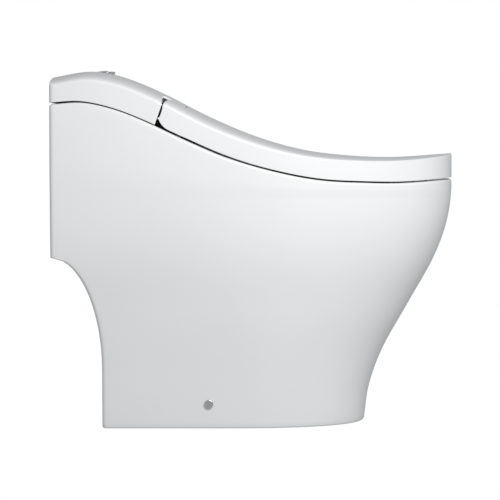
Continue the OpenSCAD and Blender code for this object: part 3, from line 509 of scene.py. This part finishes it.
def make_camera():
    data = bpy.data.cameras.new("camera")
    data.sensor_width = 36
    data.angle = math.radians(CAMERA_FOV)
    data.clip_start = 0.05
    camera = place("camera", data)
    camera.location = CAMERA_AT
    camera.rotation_euler = (math.radians(90 - CAMERA_PITCH), 0, math.radians(-90))
    bpy.context.scene.camera = camera


def make_key_light():
    at, target = Vector((-1.3, -0.45, 0.98)), Vector((0, -0.12, 0.40))
    data = bpy.data.lights.new("key", "AREA")
    data.shape = "RECTANGLE"
    data.size, data.size_y = 0.8, 0.4
    data.energy = 14
    light = place("key", data)
    light.location = at
    light.rotation_euler = (target - at).to_track_quat("-Z", "Y").to_euler()


def make_backdrop():
    """Plain white to the camera, and an even, slightly cool fill to everything else."""
    world = bpy.data.worlds.new("studio")
    world.use_nodes = True
    tree = world.node_tree
    tree.nodes.clear()
    out = tree.nodes.new("ShaderNodeOutputWorld")
    rays = tree.nodes.new("ShaderNodeLightPath")
    mix = tree.nodes.new("ShaderNodeMixShader")
    seen = tree.nodes.new("ShaderNodeBackground")
    seen.inputs["Color"].default_value = (1, 1, 1, 1)
    seen.inputs["Strength"].default_value = 1.0
    fill = tree.nodes.new("ShaderNodeBackground")
    fill.inputs["Color"].default_value = (0.95, 0.97, 1, 1)
    fill.inputs["Strength"].default_value = 0.40
    tree.links.new(rays.outputs["Is Camera Ray"], mix.inputs["Fac"])
    tree.links.new(fill.outputs["Background"], mix.inputs[1])
    tree.links.new(seen.outputs["Background"], mix.inputs[2])
    tree.links.new(mix.outputs["Shader"], out.inputs["Surface"])
    bpy.context.scene.world = world
    bpy.context.scene.view_settings.view_transform = "Standard"


make_camera()
make_key_light()
make_backdrop()


# ---- china -------------------------------------------------------------------------------------------

SUMP_Z = 190
RIM_ROUND = 4.5
LIP_ROUND = 6
BOWL_MID = -115
BOWL_REACH = 155
BOWL_DEPTH = 225
HOLLOW_Z = 288
WALL_TOP = 395
FOOT_ROUND = {0: 2.0, 1.2: 0.6, 3: 0.0}
TRAP_AT, TRAP_R = (0, 22, 217), 26
TANK_HALF, TANK_FLOOR = 172, 302
LEDGE_Z = 484
UNIT_WELL = ((-42, 20, 398), 66)
SIDE_SCREW_Y, SIDE_SCREW_Z, SIDE_SCREW_R = Y_REAR - 260, 41, 4


def body_outline(z, inset=0.0):
    return closed(half_outline(side_x(z) - inset, front_y(z) + inset, back_y(z) - inset, CORNER_R))


def bowl_grow(z):
    return np.clip((z - SUMP_Z) / BOWL_DEPTH, 0, 1) ** 0.55


def bowl_points(angles, z, grow):
    """Points of the bowl's egg-shaped section at the given angles from the nose, at height z."""
    g = bowl_grow(z)
    front, back = -70 - 205 * g, 12 + 28 * g
    half_l = (back - front) / 2 + grow
    half_x = 42 + 92 * g + grow
    s = np.sin(angles)
    return np.column_stack([half_x * np.sign(s) * np.abs(s) ** 0.9,
                            (front + back) / 2 - half_l * np.cos(angles)])


def bowl_ring(t, low, high_of, grow):
    """A ring at a share t of the way from low up to high_of(y)."""
    outline = body_outline(FULL_Z)
    angles = np.arctan2(outline[:, 0] / HALF_W, -(outline[:, 1] - BOWL_MID) / 160)
    y_guess = BOWL_MID - BOWL_REACH * np.cos(angles)
    z = low + t * (high_of(y_guess) - low)
    return with_z(bowl_points(angles, z, grow), z)


def hollow_top(y):
    """Underside of the bowl's surround, which rises towards the nose."""
    return HOLLOW_Z + 85 * np.clip((10 - y) / 70, 0, 1)


def underside_rings():
    """The bowl's outside, the hollow's ceiling and the inside of the skirt, down to the floor."""
    bowl = [bowl_ring(t, SUMP_Z - CHINA_T, hollow_top, CHINA_T) for t in (0, 0.15, 0.3, 0.5, 0.75, 1)]
    inner = body_outline(300, CHINA_T)
    heights = (278, 262, 245, 230, 200, 170, 140, 110, 80, 40, 0)
    skirt = [with_z(body_outline(z, CHINA_T), z) for z in heights]
    return [*bowl, with_z(inner, hollow_top(inner[:, 1])), *skirt]


def outside_rings():
    """The outer wall from the floor up and over the round of the rim."""
    rim = body_outline(FULL_Z)
    rim_z = seam(rim[:, 1])
    wall_z = np.concatenate([[0, 1.2, 3], np.arange(10, 286, 6), [286, 290], np.arange(300, 396, 8)])
    rings = [with_z(body_outline(z, FOOT_ROUND.get(float(z), 0.0)), z) for z in wall_z]
    for t in (0.15, 0.35, 0.6, 0.8, 0.93):
        rings.append(with_z(rim, WALL_TOP + t * (rim_z - RIM_ROUND - WALL_TOP)))
    for a in np.radians([0, 18, 36, 54, 72, 90]):
        edge = body_outline(FULL_Z, RIM_ROUND * (1 - math.cos(a)))
        rings.append(with_z(edge, rim_z - RIM_ROUND * (1 - math.sin(a))))
    return rings


def bowl_rings(edge):
    """From the rim's edge over its flat top and its lip, and down the inside of the bowl."""
    lip = bowl_ring(1, SUMP_Z, seam, LIP_ROUND)
    rings = []
    for t in (0.04, 0.3, 0.65, 1):
        mixed = edge * (1 - t) + lip * t
        mixed[:, 2] = seam(mixed[:, 1]) * (1 - t) + mixed[:, 2] * t
        rings.append(mixed)
    for a in np.radians([25, 50, 75]):
        ring = bowl_ring(1, SUMP_Z, seam, LIP_ROUND * (1 - math.sin(a)))
        ring[:, 2] -= LIP_ROUND * (1 - math.cos(a))
        rings.append(ring)
    for t in (0.95, 0.88, 0.8, 0.7, 0.6, 0.5, 0.4, 0.3, 0.22, 0.15, 0.09, 0.04, 0.01, 0):
        rings.append(bowl_ring(t, SUMP_Z, seam, 0 if t else -LIP_ROUND))
    return rings


def make_china():
    outside = outside_rings()
    rings = [*underside_rings(), *outside, *bowl_rings(outside[-1])]
    china = loft("china", rings, cap_first=True, cap_last=True)
    well = (Y_REAR - 217, Y_REAR - CHINA_T)
    unit_corner, unit_right = UNIT_WELL
    cut(china,
        cutter((-TANK_HALF, well[0], TANK_FLOOR), (TANK_HALF, well[1], ABOVE_Z)),
        cutter((-LEDGE_HALF, well[0] - 4, LEDGE_Z), (LEDGE_HALF, well[1], ABOVE_Z)),
        cutter(unit_corner, (unit_right, well[0] + 1, ABOVE_Z)),
        drum((-PORT_X, Y_REAR - 8, PORT_Z), (0, 1, 0), PORT_R, 24),
        drum((PORT_X, Y_REAR - 8, PORT_Z), (0, 1, 0), PORT_R, 24),
        drum((VALVE_X, VALVE_Y, 298), (0, 0, 1), 30, 10),
        drum(TRAP_AT, (0, 1, 0), TRAP_R, 36, 48),
        drum((0, SIDE_SCREW_Y, SIDE_SCREW_Z), (1, 0, 0), SIDE_SCREW_R, 2 * HALF_W))
    smooth(china)
    finish_piece(china, "ceramic", "root", *CERAMIC)


make_china()


# ---- rear cover and lid --------------------------------------------------------------------------------

COVER_LEAN = 11.5
LID_LEAN = 7.5
LID_WIDENING = 1.6
LID_MID = -60
COVER_INNER_Z = 541
WALL_STEPS = np.linspace(0, 1, 15)
CAP_STEPS = np.concatenate([[0.997, 0.99, 0.98, 0.965, 0.945], np.linspace(0.92, 0.08, 22), [0.02]])


def leaning(t, lean):
    """Y just behind the hinge barrel, at a share t of the way up a wall that leans forward."""
    return HINGE_Y + BARREL_R - 0.1 + lean * (1 - t)


def cover_outline(t):
    front_edge = leaning(t, COVER_LEAN) + COVER_GAP
    n = COVER_STEPS + 1
    front = np.stack([np.linspace(0, HALF_W, n), np.full(n, front_edge)], 1)
    return closed(np.concatenate([front, side_and_back(HALF_W, front_edge, Y_REAR, CORNER_R, COVER_STEPS)]))


def lid_outline(t):
    return closed(half_outline(HALF_W, Y_NOSE, leaning(t, LID_LEAN), 1))


def capped(name, rings, outline, middle, surface_z):
    """A skin through the wall's rings and then over the top, along outlines that shrink to the middle."""
    for s in CAP_STEPS:
        x, y = outline[:, 0] * s, middle + (outline[:, 1] - middle) * s
        rings.append(np.column_stack([x, y, surface_z(x, y)]))
    return loft(name, rings, cap_last=True)


def make_rear_cover():
    rings = []
    for t in WALL_STEPS:
        p = cover_outline(t)
        low = seam(p[:, 1]) + SEAM_GAP
        rings.append(with_z(p, low + t * (crease(p[:, 1]) - low)))
    cover = capped("rear_cover_shell", rings, cover_outline(1), (HINGE_Y + Y_REAR) / 2, top_z)
    side = LEDGE_HALF - 2
    slice_mesh(cover, [*both_sides(side), level(COVER_INNER_Z)])
    drop_faces(cover, lambda c: abs(c.x) < side and c.y < HINGE_Y + 45 and c.z < COVER_INNER_Z)
    thicken(cover)
    cut(cover, drum((0, BUTTON_Y, 590), (0, 0, 1), BUTTON_HOLE_R, 60))
    smooth(cover)
    finish_piece(cover, "cover_white", "root", "rear_cover")


def lid_low(y):
    """The lid's lower edge: its gap widens towards the hinge, then a round corner meets the rear cover."""
    d = np.clip(y - (leaning(0, LID_LEAN) - LID_CORNER), 0, LID_CORNER * 0.98)
    widening = LID_WIDENING * np.clip((y - HINGE_Y + 150) / 110, 0, 1)
    return seam(y) + SEAM_GAP + widening + LID_CORNER - np.sqrt(LID_CORNER**2 - d**2)


def make_lid():
    rings = []
    for t in WALL_STEPS:
        p = lid_outline(t)
        y = p[:, 1]
        low = lid_low(y)
        high = np.where(y < HINGE_Y, crease(y), np.minimum(crease(y), barrel_z(y)))
        rings.append(with_z(p, low + t * (high - low)))
    lid = capped("lid_cover", rings, lid_outline(1), LID_MID, lid_z)
    notch_x, notch_y = NOSE_HALF + 2, HINGE_Y - NOSE_R - 2
    ledge_z, arm_y, arm_z = HINGE_Z - 5, HINGE_Y + 2, HINGE_Z + 4
    slice_mesh(lid, [*both_sides(notch_x), across(notch_y), *both_sides(LEDGE_HALF), *both_sides(ARM_HALF),
                     across(arm_y), level(ledge_z), level(arm_z)])
    drop_faces(lid, lambda c: (abs(c.x) < notch_x and c.y > notch_y)
               or (abs(c.x) < LEDGE_HALF and c.y > HINGE_Y and c.z < ledge_z)
               or (abs(c.x) < ARM_HALF and c.y > arm_y and c.z < arm_z))
    thicken(lid)
    smooth(lid)
    finish_piece(lid, "cover_white", "lid", "lid_shell")


def make_hinge_cover():
    """The fixed nose between the lid's hinge arms: the top's surface over a round front."""
    xs = np.linspace(-NOSE_HALF, NOSE_HALF, 61)
    back = HINGE_Y + BARREL_R + 0.4
    front = HINGE_Y - NOSE_R + 0.4
    rows = []
    for a in np.radians(np.linspace(255, 174, 14)):
        y, z = HINGE_Y + NOSE_R * math.cos(a), HINGE_Z + NOSE_R * math.sin(a)
        rows.append(np.column_stack([xs, np.full_like(xs, y), np.full_like(xs, z)]))
    for y in np.linspace(front, back, 20):
        rows.append(np.column_stack([xs, np.full_like(xs, y), top_z(xs, y)]))
    n = len(xs)
    mesh = bpy.data.meshes.new("hinge_nose")
    quads = [(j * n + i, j * n + i + 1, (j + 1) * n + i + 1, (j + 1) * n + i)
             for j in range(len(rows) - 1) for i in range(n - 1)]
    mesh.from_pydata((np.concatenate(rows) * MM).tolist(), [], quads)
    nose = place("hinge_nose", mesh)

    def face_up(bm):
        face_outwards(bm)
        if sum(f.normal.z for f in bm.faces) < 0:
            bmesh.ops.reverse_faces(bm, faces=bm.faces)

    edit(mesh, face_up)
    thicken(nose)
    smooth(nose)
    finish_piece(nose, "cover_white", "root", "hinge_cover")


make_rear_cover()
make_lid()
make_hinge_cover()


# ---- flush buttons and screw caps ----------------------------------------------------------------------

LATHE_STEPS = 72
DOME_R = 60
DOME_STEPS = (14, 13.4, 12, 10, 7.5, 5, 2.5, 0.3)
BUTTON_PORT_R = 3.2
HALF_ROD_Y = VALVE_Y - 15


def lathe(name, profile, at=(0, 0)):
    """A turned solid about a vertical line, from (radius, height) pairs, closed flat at both ends."""
    a = np.linspace(0, 2 * np.pi, LATHE_STEPS, endpoint=False)
    rings = [np.column_stack([at[0] + r * np.cos(a), at[1] + r * np.sin(a), np.full_like(a, h)])
             for r, h in profile]
    return loft(name, rings, cap_first=True, cap_last=True)


def arc(middle, r, start, end, steps=6):
    """(radius, height) points on an arc from one angle to another, in degrees."""
    angles = np.radians(np.linspace(start, end, steps))
    return [(middle[0] + r * math.cos(a), middle[1] + r * math.sin(a)) for a in angles]


def make_bezel():
    low, high = [v.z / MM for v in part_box("button_bezel")]
    profile = [(15.2, low), *arc((15.2, low + 0.8), 0.8, -90, 0, 4), (16, high - 1.8),
               *arc((16.2, high - 0.9), 0.8, -60, 60), *arc((15.1, high - 0.6), 0.6, 90, 170, 4),
               (14.25, high - 1.2), (14.25, low + 4), (13.5, low + 4)]
    bezel = lathe("button_bezel_ring", profile, (0, BUTTON_Y))
    cut(bezel, drum((6, VALVE_Y, low + 2), (0, 0, 1), BUTTON_PORT_R, 12, 32),
        drum((-6, HALF_ROD_Y, low + 2), (0, 0, 1), BUTTON_PORT_R, 12, 32))
    smooth(bezel)
    finish_piece(bezel, "chrome_trim", "root", "button_bezel")


def make_buttons():
    """One domed disc cut along a chord: the larger part for the full flush, the other for the half."""
    split = BUTTON_Y - 5
    for name, node, body, keep in (("full_button_cap", "full_flush_button", "full_button", 1),
                                   ("half_button_cap", "half_flush_button", "half_button", -1)):
        low, high = [v.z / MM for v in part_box(node)]
        top = high if keep > 0 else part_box("full_flush_button")[1].z / MM - 1
        dome = [(r, top - DOME_R + math.sqrt(DOME_R**2 - r * r)) for r in DOME_STEPS]
        cap = lathe(name, [(12.5, low), (14, low), *dome], (0, BUTTON_Y))
        side = (split - 40, split + 0.4) if keep > 0 else (split - 0.4, split + 40)
        cut(cap, cutter((-20, side[0], low - 5), (20, side[1], top + 5)))
        bevel_edges(cap, 0.45, 3, 35)
        smooth(cap)
        finish_piece(cap, "chrome_trim", body, node)


def make_caps():
    low, high = [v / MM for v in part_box("side_screw_caps")]
    r = (high.z - low.z) / 2
    middle_y, middle_z = (low.y + high.y) / 2, (low.z + high.z) / 2
    reach = high.x
    profile = [(3.6, FOOT_HALF + 0.1), (3.6, FOOT_HALF + 2.5), (r - 0.4, FOOT_HALF + 2.5),
               (r, FOOT_HALF + 2.9), (r, reach - 1.6), *arc((r - 1.5, reach - 1.6), 1.5, 10, 80, 5),
               (r - 3, reach - 0.1), (0.4, reach)]
    for sign, side in ((1, "right"), (-1, "left")):
        cap = lathe("screw_cap_" + side, profile)
        for v in cap.data.vertices:
            x, y, z = v.co
            v.co = (sign * z, y * sign + middle_y * MM, x + middle_z * MM)
        edit(cap.data, face_outwards)
        smooth(cap, 50)
        finish_piece(cap, "chrome_trim", "root", "side_screw_caps")


make_bezel()
make_buttons()
make_caps()


# ---- seat --------------------------------------------------------------------------------------------

HOLE_MID = -125
HOLE_HALF, HOLE_REACH = 104, 142
SEAT_INSET, SEAT_NOSE, SEAT_BACK, SEAT_CORNER = 8, 9, 25.5, 12

# Each list is one loop of the seat's section, as (inset or growth, rise above the seam). The crest's first
# numbers are shares of the way from the outer edge to the hole.
TOP_OUTER = [(1, 15.4), (0, 16.4), (0, 20), (0.6, 22.4), (2.2, 24.6), (5, 26.2)]
TOP_CREST = [(0.10, 28.2), (0.16, 29.4), (0.22, 30), (0.32, 29.9), (0.42, 29.4), (0.52, 28.6), (0.62, 27.6),
             (0.72, 26.5), (0.82, 25.2)]
TOP_HOLE = [(9, 24.2), (5, 23), (2.2, 21.2), (0.6, 19), (0, 17), (0.6, 15.4)]
BASE_OUTER = [(3, 6), (1.6, 6.8), (1, 8.5), (1, 13.4), (1.6, 14)]
BASE_HOLE = [(0.6, 14), (0, 13.4), (0, 8.5), (0.8, 6.8), (3, 6)]


def seat_outer(inset):
    return closed(half_outline(HALF_W - SEAT_INSET - inset, Y_NOSE + SEAT_NOSE + inset,
                               HINGE_Y - SEAT_BACK - inset, SEAT_CORNER))


def seat_hole(grow):
    outer = seat_outer(0)
    angles = np.arctan2(outer[:, 0] / HALF_W, -(outer[:, 1] - HOLE_MID) / 200)
    s = np.sin(angles)
    return np.column_stack([(HOLE_HALF + grow) * np.sign(s) * np.abs(s) ** 0.95,
                            HOLE_MID - (HOLE_REACH + grow) * np.cos(angles)])


def seat_crest(share):
    return seat_outer(0) * (1 - share) + seat_hole(0) * share


def seat_rings(outline, section):
    rings = []
    for size, rise in section:
        points = outline(size)
        rings.append(with_z(points, seam(points[:, 1]) + rise))
    return rings


def make_seat():
    top = loft("seat_ring", [*seat_rings(seat_outer, TOP_OUTER), *seat_rings(seat_crest, TOP_CREST),
                             *seat_rings(seat_hole, TOP_HOLE)], loop=True)
    smooth(top)
    finish_piece(top, "cover_white", "seat", "seat_top")
    base = loft("seat_underside", [*seat_rings(seat_outer, BASE_OUTER), *seat_rings(seat_hole, BASE_HOLE)],
                loop=True)
    smooth(base)
    finish_piece(base, "cover_white", "seat", "seat_base")


make_seat()


# ---- every CAD node that stays gets its own finish -----------------------------------------------------

for entry in frame["record"]["subparts"]:
    node = frame["nodes"][entry["node"]]
    node.data.materials.clear()
    node.data.materials.append(MATERIALS[entry["material_slot"]])
